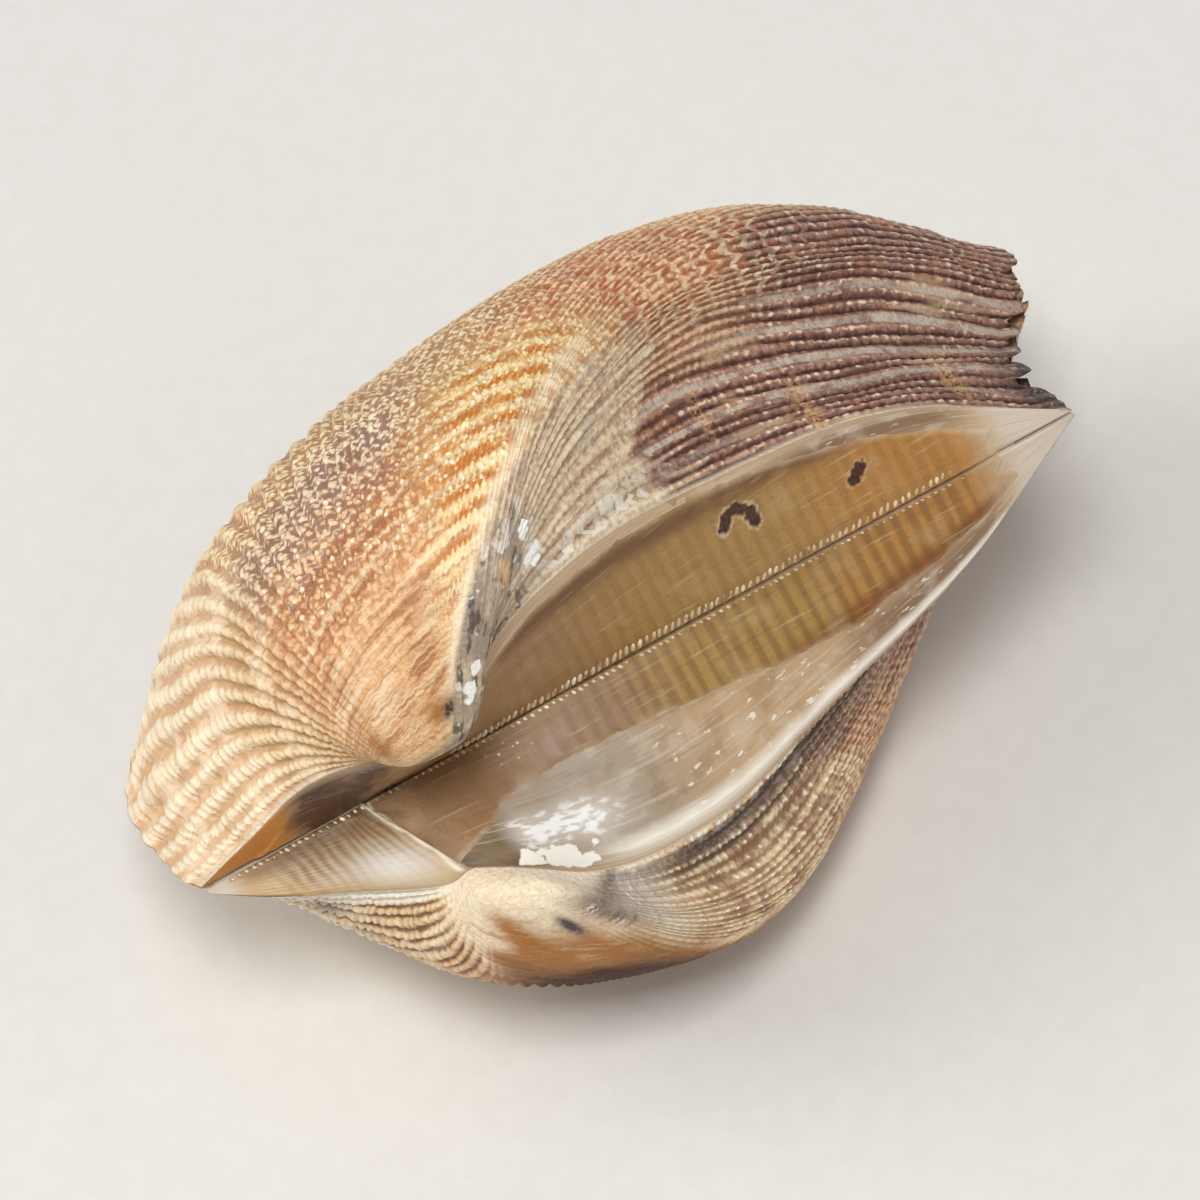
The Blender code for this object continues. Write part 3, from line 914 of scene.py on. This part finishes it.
@dataclass(frozen=True)
class WornShell:
    """Aragonite grown in beaded ribs and rubbed by the sea: matt grooves, softly shining crests."""

    groove: str = "#B9855A"
    crest: str = "#FFE1AA"
    regions: tuple[tuple[str, str, str], ...] = (
        ("front", "#DFB385", "#FDE9C5"), ("low_front", "#BC8E60", "#F5D4A4"), ("umbo", "#CB8E52", "#F0C389"),
        ("mauve", "#9A705A", "#FBDFBB"), ("streak", "#C4814F", "#F0C08A"), ("amber", "#E0AA60", "#FFE3A4"),
        ("russet", "#BC7048", "#FFD3A3"), ("ashen", "#A17B57", "#EDD5B2"), ("brown", "#8E5B40", "#E9BD96"),
        ("plum", "#4C2A23", "#AE806D"), ("cream", "#EBC895", "#FFF1D3"))
    granule: float = 0.46
    roughness: float = 0.44

    def material(self) -> bpy.types.Material:
        """The finish as a material."""
        recipe = Recipe("aragonite_ribbed_sea_worn")
        add = recipe.add
        place = add("TexCoord", {}, "Object")
        growth = add("CombineXYZ", {0: "rib", 1: "bead"})
        ribs = add("TexWave", {"Vector": growth, "Scale": WAVE, "Phase Offset": math.pi}, "Fac")
        granules = add("TexVoronoi", {"Vector": place, "Scale": 1 / (self.granule * MM)}, "Distance")
        kind = granules.node.outputs["Color"]
        patches = add("TexNoise", {"Vector": place, "Scale": 1 / (3.2 * MM), "Detail": 3.0}, "Fac")
        dust = add("TexNoise", {"Vector": place, "Scale": 1 / (0.3 * MM), "Detail": 2.0}, "Fac")
        flaws = add("TexNoise", {"Vector": place, "Scale": 1 / (1.1 * MM), "Detail": 2.0}, "Fac")
        wide = add("VectorMath", {0: growth, 1: (0.22, 0.42, 1.0)}, operation="MULTIPLY")
        blotch = add("TexNoise", {"Vector": wide, "Scale": 1.0, "Detail": 3.0}, "Fac")
        long = add("VectorMath", {0: growth, 1: (0.10, 0.9, 1.0)}, operation="MULTIPLY")
        streaks = add("TexNoise", {"Vector": long, "Scale": 1.0, "Detail": 3.0}, "Fac")
        thin = add("VectorMath", {0: growth, 1: (0.05, 2.2, 1.0)}, operation="MULTIPLY")
        lines = add("TexNoise", {"Vector": thin, "Scale": 1.0, "Detail": 3.0}, "Fac")
        ribwise = add("VectorMath", {0: growth, 1: (0.8, 0.1, 1.0)}, operation="MULTIPLY")
        flow = add("TexNoise", {"Vector": ribwise, "Scale": 1.0, "Detail": 4.0}, "Fac")
        height = add("Mix", {"Factor": "grain", "A": "crest", "B": (granules, 0.78, 0.2)})
        height = add("Math", {0: height, 1: (dust, 0.3, 0.7, -0.12, 0.12)}, operation="ADD")
        top = recipe.wire((height, 0.14, 0.8))

        # The eye meets pale rubbed crests first, and the region's deeper colour in the grooves between them.
        grooves = recipe.layered(self.groove, [(groove, name) for name, groove, _ in self.regions])
        crests = recipe.layered(self.crest, [(crest, name) for name, _, crest in self.regions])
        colour = recipe.layered(grooves, [(crests, top)])

        scallop = add("Math", {0: "bead", 1: [ribs, 0.45]}, operation="ADD")
        arcs = add("TexWave", {"Vector": add("CombineXYZ", {0: ["rib", 0.05], 1: scallop}),
                               "Scale": WAVE / 2.2, "Distortion": 2.6, "Detail": 2.0, "Detail Scale": 2.0},
                   "Fac", bands_direction="Y")
        tooth = add("Math", {0: "rib", 1: 1.0}, operation="PINGPONG")
        zig = add("Math", {0: "bead", 1: [tooth, (blotch, 0.35, 0.65, 0.7, 1.6)]}, operation="ADD")
        zigzag = add("TexWave", {"Vector": add("CombineXYZ", {0: ["rib", 0.2], 1: zig}), "Scale": WAVE / 1.9,
                                 "Distortion": 4.2, "Detail": 2.0, "Detail Scale": 1.2}, "Fac",
                     bands_direction="Y")
        shown = recipe.wire(["zigzag", (blotch, 0.38, 0.54, 0.15, 1)])
        pale = add("TexWave", {"Vector": add("CombineXYZ", {0: "stripe"}), "Scale": WAVE,
                               "Phase Offset": math.pi}, "Fac")
        chipped = add("Math", {0: "white_chip", 1: (flaws, 0.3, 0.7, -0.5, 0.5)}, operation="ADD")
        colour = recipe.layered(colour, [
            ("#F8E6C6", "front", (patches, 0.48, 0.62), 0.5), ("#C99C6C", "front", (lines, 0.46, 0.36), 0.35),
            ("#8B7472", "mauve", (patches, 0.42, 0.56), (height, 0.6, 0.25), 0.65),
            ("#A8612F", "streak", (streaks, 0.52, 0.62), 0.65),
            ("#FBE6C0", "streak", (streaks, 0.45, 0.36), 0.6),
            ("#A9653A", "stained", (streaks, 0.53, 0.64), 0.4), ("#A77A4E", "stained", (lines, 0.48, 0.34), 0.55),
            ("#FBE8C8", "stained", (lines, 0.52, 0.66), 0.55),
            ("#CA7620", "amber", (arcs, 0.56, 0.84), (ribs, 0.05, 0.4, 0.55, 1), (blotch, 0.36, 0.52, 0.15, 1)),
            ("#FDE9BC", "amber", (arcs, 0.35, 0.1), 0.6),
            ("#C2632A", "russet", (blotch, 0.5, 0.6), 0.55),
            ("#7E5348", "russet", (patches, 0.52, 0.62), 0.35),
            ("#A35A33", shown, (zigzag, 0.35, 0.1), 0.45),
            ("#FBE3BC", shown, (zigzag, 0.62, 0.9), (kind, 0.3, 0.55, 0.35, 1), 0.8),
            ("#6B4636", "brown", (flow, 0.46, 0.36), 0.6), ("#E2C49E", "brown", (flow, 0.54, 0.66), 0.5),
            # Pale dots on the bead crests of the dark rear bands are painted glints.
            ("#F4DCBA", "plum", (height, 0.6, 0.84), (kind, 0.43, 0.55), 0.8),
            ("#B07A54", "plum", (blotch, 0.55, 0.67), (height, 0.1, 0.7), 0.6),
            ("#271412", "plum", (height, 0.3, 0.05), (blotch, 0.56, 0.46), 0.6),
            ("#C6B8A6", "plum", "striped", (pale, 0.8, 0.96), (blotch, 0.36, 0.54, 0.2, 1),
             (dust, 0.35, 0.5, 0.6, 1)),
            ("#DFAC74", "growth_mark", (dust, 0.4, 0.55), 0.7),
            ("#F6E9CF", "washed", (flow, 0.53, 0.65), 0.65),
            ("#805539", "washed", (flow, 0.46, 0.36), 0.55),
            ("#A49A90", "washed", (patches, 0.54, 0.62), 0.45),
            ("#EFCFA2", "rusty", (height, 0.1, 0.6), 0.7), ("#96654A", "rusty", (blotch, 0.44, 0.6), 0.65),
            # The cream dots on the bead crests here are painted glints.
            ("#FFF0CE", "rusty", (height, 0.6, 0.85), (kind, 0.5, 0.6)),
            ("#F9F0DE", "border_pale", (kind, 0.45, 0.6), 0.8),
            # Near-white spots on the granule tops are painted glints.
            ("#FFF5DC", "grain", (height, 0.74, 0.92), (kind, 0.46, 0.56), 1.2),
            ("#A2754F", "grain", (kind, 0.4, 0.3), (height, 0.2, 0.6, 0.5, 0.15)),
            ("#F6E2BE", "keel_line", (patches, 0.35, 0.55, 0.4, 0.9)),
            ("#AA6C22", "ochre", (streaks, 0.3, 0.5, 0.75, 1)), ("#DDB888", "ochre", (streaks, 0.56, 0.68), 0.4),
            ("#45260E", "sepia", (streaks, 0.36, 0.56, 0.65, 1)),
            ("#6F553F", "furrow", (height, 0.42, 0.12), 0.75),
            ("#9A7F6B", "smudge", (patches, 0.3, 0.5, 0.75, 1)), ("#6B5549", "smudge", (lines, 0.5, 0.38), 0.9),
            # The white lines in the smudge are painted highlights.
            ("#F8F2E8", "smudge", (lines, 0.53, 0.62), (flaws, 0.52, 0.62), 0.8),
            # The dark grooves by the rear border are painted shade.
            ("#412C1E", "gully", (height, 0.85, 0.3, 0.25, 0.95)),
            ("#F8F0E2", "lip", 0.6),
            ("#DDC3A2", "pale_tip", 0.7), ("#47301E", "brown_spot", (dust, 0.3, 0.6, 0.8, 1.4)),
            ("#4D3E40", "dark_spot", (dust, 0.2, 0.6, 0.9, 1.4)), ("#6E5A4C", "crease", (dust, 0.3, 0.6, 0.5, 0.8)),
            ("#8D7B6C", "glassy", (patches, 0.4, 0.6, 0.3, 0.75)), ("#463A33", "glassy", (blotch, 0.47, 0.38), 0.8),
            # The white flecks on the glassy strip are painted glints.
            ("#EDE8DE", "glassy", (flaws, 0.58, 0.64), 0.7),
            ("#EDBF86", "chip"), ("#F8F5EE", (chipped, 0.5, 0.6)),
            # The near-black crevice colour is painted shade in the groove by the rear border.
            ("#2E2621", "crust", (dust, 0.36, 0.52)), ("#DDCBB2", "rim", 0.8), ("#33261F", "crevice"),
        ])
        shade = add("HueSaturation", {"Value": (patches, 0.3, 0.7, 0.92, 1.06), "Color": colour})
        grain = add("Math", {0: [top, 0.85], 1: [dust, 0.4]}, operation="ADD")
        bump = add("Bump", {"Height": grain, "Distance": 0.11 * MM, "Strength": 0.85})
        polish = add("Mix", {"Factor": "sepia", "A": (height, 0.1, 0.9, self.roughness + 0.2,
                                                      self.roughness - 0.14), "B": 0.9})
        return recipe.finish(Base_Color=shade, Normal=bump, IOR=1.52, Specular_IOR_Level=0.4, Roughness=polish,
                             Coat_Weight=0.1, Coat_Roughness=0.2)


@dataclass(frozen=True)
class PolishedHinge:
    """Aragonite of the flat hinge area, laid down smooth: close growth lines under a wet-looking gloss."""

    colour: str = "#C2A27C"

    def material(self) -> bpy.types.Material:
        """The finish as a material."""
        recipe = Recipe("aragonite_hinge_area_polished")
        add = recipe.add
        place = add("TexCoord", {}, "Object")
        lines = add("TexNoise", {"Vector": add("CombineXYZ", {0: ["along", 0.05], 1: ["across", 9.0]}),
                                 "Scale": 4.0, "Detail": 3.0}, "Fac")
        haze = add("TexNoise", {"Vector": place, "Scale": 1 / (1.6 * MM), "Detail": 4.0}, "Fac")
        cloud = add("TexNoise", {"Vector": add("CombineXYZ", {0: ["along", 0.3], 1: ["across", 3.0]}),
                                 "Scale": 1.6, "Detail": 4.0}, "Fac")
        fleck = add("TexNoise", {"Vector": add("CombineXYZ", {0: ["along", 1.1], 1: ["across", 22.0]}),
                                 "Scale": 1.0, "Detail": 4.0}, "Fac")
        matt = recipe.wire(("area_front", 0.0, 1.0, 1.0, 0.3))
        torn = add("Math", {0: "area_cream", 1: (haze, 0.3, 0.7, -0.5, 0.4)}, operation="ADD")
        glare = add("Math", {0: "area_bloom", 1: (fleck, 0.3, 0.7, -0.4, 0.4)}, operation="ADD")
        # The eye sees warm tan shell under a thin shine, with chalky white flecks, and a white patch on the left half
        # that is a lamp's highlight painted in.
        colour = recipe.layered(self.colour, [
            ("#A8967F", "area_grey"), ("#C2A06C", "area_front"), ("#C67D30", "area_rust"),
            # The dark brown on the right front of the hinge area is painted shadow of the right beak.
            ("#5A3820", "area_dusk"), ("#8A6333", "area_umber", 0.9), ("#6B4A28", "area_shade", 0.75),
            ("#644826", "area_stripe", 0.8), ("#EBE4D8", "area_glow", 0.85),
            ("#8A6C54", "area_lilac"), ("#DACBB4", (cloud, 0.52, 0.66, 0, 0.35), matt),
            ("#94754F", (cloud, 0.46, 0.34, 0, 0.4), matt), ("#DCCEBC", "area_tip", 0.85),
            ("#6F5A3C", "area_glass", (cloud, 0.3, 0.6, 0.6, 0.95)),
            ("#E2D9CA", (lines, 0.56, 0.66, 0, 0.3), matt), ("#82694F", (lines, 0.44, 0.32, 0, 0.35), matt),
            # The white patch and its flecks are painted highlight of a lamp.
            ("#E6DFD4", "area_bloom", 0.7), ("#FBFAF6", (glare, 0.55, 1.05), "area_bloom", 1.2),
            ("#F6EEDD", "area_flecks", (fleck, 0.62, 0.68), 0.8),
            ("#FBF6EA", (torn, 0.45, 0.6)), ("#FFF6E6", "area_rim", (cloud, 0.3, 0.6, 0.75, 1)),
            # The dark seam line is painted shadow beside the ridge, and the pale ridge line is its painted edge
            # highlight.
            ("#4A3828", "area_seam", 0.8), ("#EFE3CC", "area_ridge", (haze, 0.3, 0.5, 0.6, 1)),
        ])
        relief = add("Math", {0: [lines, 0.6], 1: [haze, 0.4]}, operation="ADD")
        bump = add("Bump", {"Height": relief, "Distance": 0.06 * MM, "Strength": 0.7})
        return recipe.finish(Base_Color=colour, Normal=bump, IOR=1.5, Specular_IOR_Level=0.35,
                             Roughness=(haze, 0.3, 0.7, 0.3, 0.44))


@dataclass(frozen=True)
class CreamTooth:
    """Aragonite of the hinge teeth: small, pale and evenly rubbed."""

    def material(self) -> bpy.types.Material:
        """The finish as a material."""
        recipe = Recipe("aragonite_hinge_teeth_rubbed")
        place = recipe.add("TexCoord", {}, "Object")
        stain = recipe.add("TexNoise", {"Vector": place, "Scale": 1 / (0.9 * MM), "Detail": 2.0}, "Fac")
        colour = recipe.layered("#D6BC92", [("#A07A4C", (stain, 0.5, 0.66)), ("#F0E1C4", (stain, 0.46, 0.34))])
        return recipe.finish(Base_Color=colour, IOR=1.56, Roughness=0.34)


@dataclass(frozen=True)
class Porcelain:
    """Aragonite of the inside, laid down as smooth china: milky white, browner towards the margin."""

    def material(self) -> bpy.types.Material:
        """The finish as a material."""
        recipe = Recipe("aragonite_inside_china")
        place = recipe.add("TexCoord", {}, "Object")
        cloud = recipe.add("TexNoise", {"Vector": place, "Scale": 1 / (9 * MM), "Detail": 3.0}, "Fac")
        colour = recipe.layered("#E4DACB", [("#C9B7A4", (cloud, 0.5, 0.7)), ("#B9A89F", (cloud, 0.45, 0.3))])
        return recipe.finish(Base_Color=colour, IOR=1.56, Roughness=0.26, Coat_Weight=0.3, Coat_Roughness=0.1)


@dataclass(frozen=True)
class HornyFilm:
    """Ligament dried to a horny film: see-through brown over the shell, glossy, with cross stripes."""

    colour: str = "#AC8347"

    def material(self) -> bpy.types.Material:
        """The finish as a material."""
        recipe = Recipe("ligament_dried_glossy")
        add = recipe.add
        place = add("TexCoord", {}, "Object")
        bent = add("CombineXYZ", {0: "stripe", 1: ["out", 0.04]})
        waves = add("TexWave", {"Vector": bent, "Scale": WAVE, "Distortion": 2.4, "Detail": 2.0,
                                "Detail Scale": 5.0}, "Fac")
        combed = add("CombineXYZ", {0: ["along", 0.05], 1: "out"})
        scratch = add("TexNoise", {"Vector": combed, "Scale": 3.6, "Detail": 4.0}, "Fac")
        cloud = add("TexNoise", {"Vector": place, "Scale": 1 / (2.4 * MM), "Detail": 3.0}, "Fac")
        grit = add("TexNoise", {"Vector": place, "Scale": 1 / (0.25 * MM), "Detail": 1.0}, "Fac")
        dots = add("TexVoronoi", {"Vector": place, "Scale": 1 / (0.5 * MM)}, "Distance")
        # The eye sees honey-coloured horn, greener where it is thick and browner where it has dried on, with painted
        # shadow under the right beak and painted shade over its left half.
        colour = recipe.layered(self.colour, [
            # The left half's darker tan is painted shade.
            ("#A6805A", "taupe"), ("#94704C", "fawn"), ("#AC8646", "olive"), ("#B68040", "amber"), ("#8C541F", "rust"),
            # The darkest brown in front of the beaks is painted shadow of the right beak.
            ("#6B4524", "umber", 0.9), ("#51301A", "dusk"), ("#C47E38", "front_orange"),
            ("#6E4B21", "stripes", (waves, 0.1, 0.95), 0.5),
            ("#C3A578", (cloud, 0.5, 0.75, 0, 0.3)), ("#D2B88E", (scratch, 0.6, 0.7, 0, 0.4)),
            ("#6B4E2E", (scratch, 0.42, 0.3, 0, 0.3)), ("#6E5333", (grit, 0.45, 0.3, 0, 0.25)),
            ("#7A5A36", "band", 0.2), ("#3F2C1D", "line", 0.85), ("#33221A", "notch", (grit, 0.35, 0.5)),
            ("#3A1C0E", "chip"), ("#6A3A22", "chip", (grit, 0.5, 0.6), 0.5),
            # The cream of the crease is painted edge highlight.
            ("#D6C09C", "chip_rim", 0.8), ("#E4D6BB", "crease"),
            ("#F6EFDF", "speck", (dots, 0.24, 0.16)),
            ("#CDB693", "edge", (cloud, 0.4, 0.6, 0.3, 0.8)), ("#CBB496", "faded", (cloud, 0.35, 0.6, 0.5, 1)),
        ])
        relief = add("Math", {0: [scratch, 0.7], 1: [waves, 0.3]}, operation="ADD")
        bump = add("Bump", {"Height": relief, "Distance": 0.03 * MM, "Strength": 0.5})
        return recipe.finish(Base_Color=colour, Normal=bump, IOR=1.48, Roughness=(cloud, 0.3, 0.7, 0.4, 0.52))


@dataclass(frozen=True)
class StudioPaper:
    """Pale matt paper under the shell."""

    def material(self) -> bpy.types.Material:
        """The finish as a material."""
        recipe = Recipe("studio_paper_matt")
        place = recipe.add("TexCoord", {}, "Object")
        fibre = recipe.add("TexNoise", {"Vector": place, "Scale": 1 / (2 * MM), "Detail": 2.0}, "Fac")
        colour = recipe.layered("#E4E1DB", [("#DEDAD3", (fibre, 0.4, 0.6, 0, 0.3))])
        return recipe.finish(Base_Color=colour, Roughness=0.9)


@dataclass(frozen=True)
class Studio:
    """Floor, soft lamps and the camera, which looks down on the hinge from the rear left."""

    elevation: float = math.radians(29.34)
    lean: float = math.radians(1.06)
    roll: float = math.radians(28.75)
    distance: float = 368.0
    aim: tuple[float, float, float] = (14.0, 0.0, -5.0)
    shift: tuple[float, float] = (-0.884, 1.179)
    lens: float = 175.7
    sky: float = 0.32

    def camera(self) -> None:
        """Create the camera and make it the scene's."""
        back = Vector((-math.sin(self.lean), math.cos(self.lean) * math.sin(self.elevation),
                       math.cos(self.lean) * math.cos(self.elevation)))
        level = (Vector((1, 0, 0)) - back * back.x).normalized()
        upright = back.cross(level)
        right = math.cos(self.roll) * level - math.sin(self.roll) * upright
        up = math.sin(self.roll) * level + math.cos(self.roll) * upright
        target = Vector(self.aim) + self.shift[0] * right + self.shift[1] * up
        turn = PLACE.to_3x3() @ Matrix((right, up, back)).transposed()
        where = PLACE @ (target + back * self.distance)
        data = bpy.data.cameras.new("studio_camera")
        data.lens = self.lens
        data.clip_start = 0.01
        camera = bpy.data.objects.new("studio_camera", data)
        camera.matrix_world = Matrix.Translation(where * MM) @ turn.to_4x4()
        bpy.context.scene.collection.objects.link(camera)
        bpy.context.scene.camera = camera

    def lamp(self, name: str, where: tuple[float, float, float], size: float, power: float) -> None:
        """Add a square soft lamp that faces the shell.

        Args:
            name: The lamp's name.
            where: Place in metres.
            size: Width in metres.
            power: Watts.
        """
        data = bpy.data.lights.new(name, "AREA")
        data.size = size
        data.energy = power
        lamp = bpy.data.objects.new(name, data)
        lamp.location = where
        lamp.rotation_euler = (Vector(where) - Vector((0, 0, 0.02))).to_track_quat("Z", "Y").to_euler()
        bpy.context.scene.collection.objects.link(lamp)

    def build(self) -> None:
        """Lay the floor, hang the lamps and set the camera."""
        floor = bpy.data.meshes.new("studio_floor")
        floor.from_pydata([(-2, -2, 0), (2, -2, 0), (2, 2, 0), (-2, 2, 0)], [], [(0, 1, 2, 3)])
        floor.materials.append(StudioPaper().material())
        piece = bpy.data.objects.new("studio_floor", floor)
        bpy.context.scene.collection.objects.link(piece)
        self.lamp("key_lamp", (-0.05, -0.19, 0.57), 0.18, 1.9)
        self.lamp("side_lamp", (-0.45, 0.25, 0.45), 0.40, 1.8)
        self.lamp("fill_lamp", (0.45, -0.45, 0.45), 0.55, 0.7)
        world = bpy.data.worlds.new("studio_sky")
        world.use_nodes = True
        world.node_tree.nodes["Background"].inputs["Color"].default_value = linear("#F4F6FA")
        world.node_tree.nodes["Background"].inputs["Strength"].default_value = self.sky
        bpy.context.scene.world = world
        bpy.context.scene.view_settings.view_transform = "Standard"
        self.camera()


def main() -> None:
    """Build the pieces and the studio in order, and report each."""
    inside = Porcelain().material()
    finishes = [WornShell().material(), PolishedHinge().material(), CreamTooth().material(), inside]
    for side in Side:
        valve = Valve(side).build(finishes)
        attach(valve, "root")
        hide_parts(side.node)
        log.info("%s: %d faces", valve.name, len(valve.data.polygons))
    film = LigamentFilm().build([HornyFilm().material()])
    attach(film, "root")
    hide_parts("ligament")
    log.info("%s: %d faces", film.name, len(film.data.polygons))
    Studio().build()


if __name__ == "__main__":
    logging.basicConfig(level=logging.INFO)
    main()
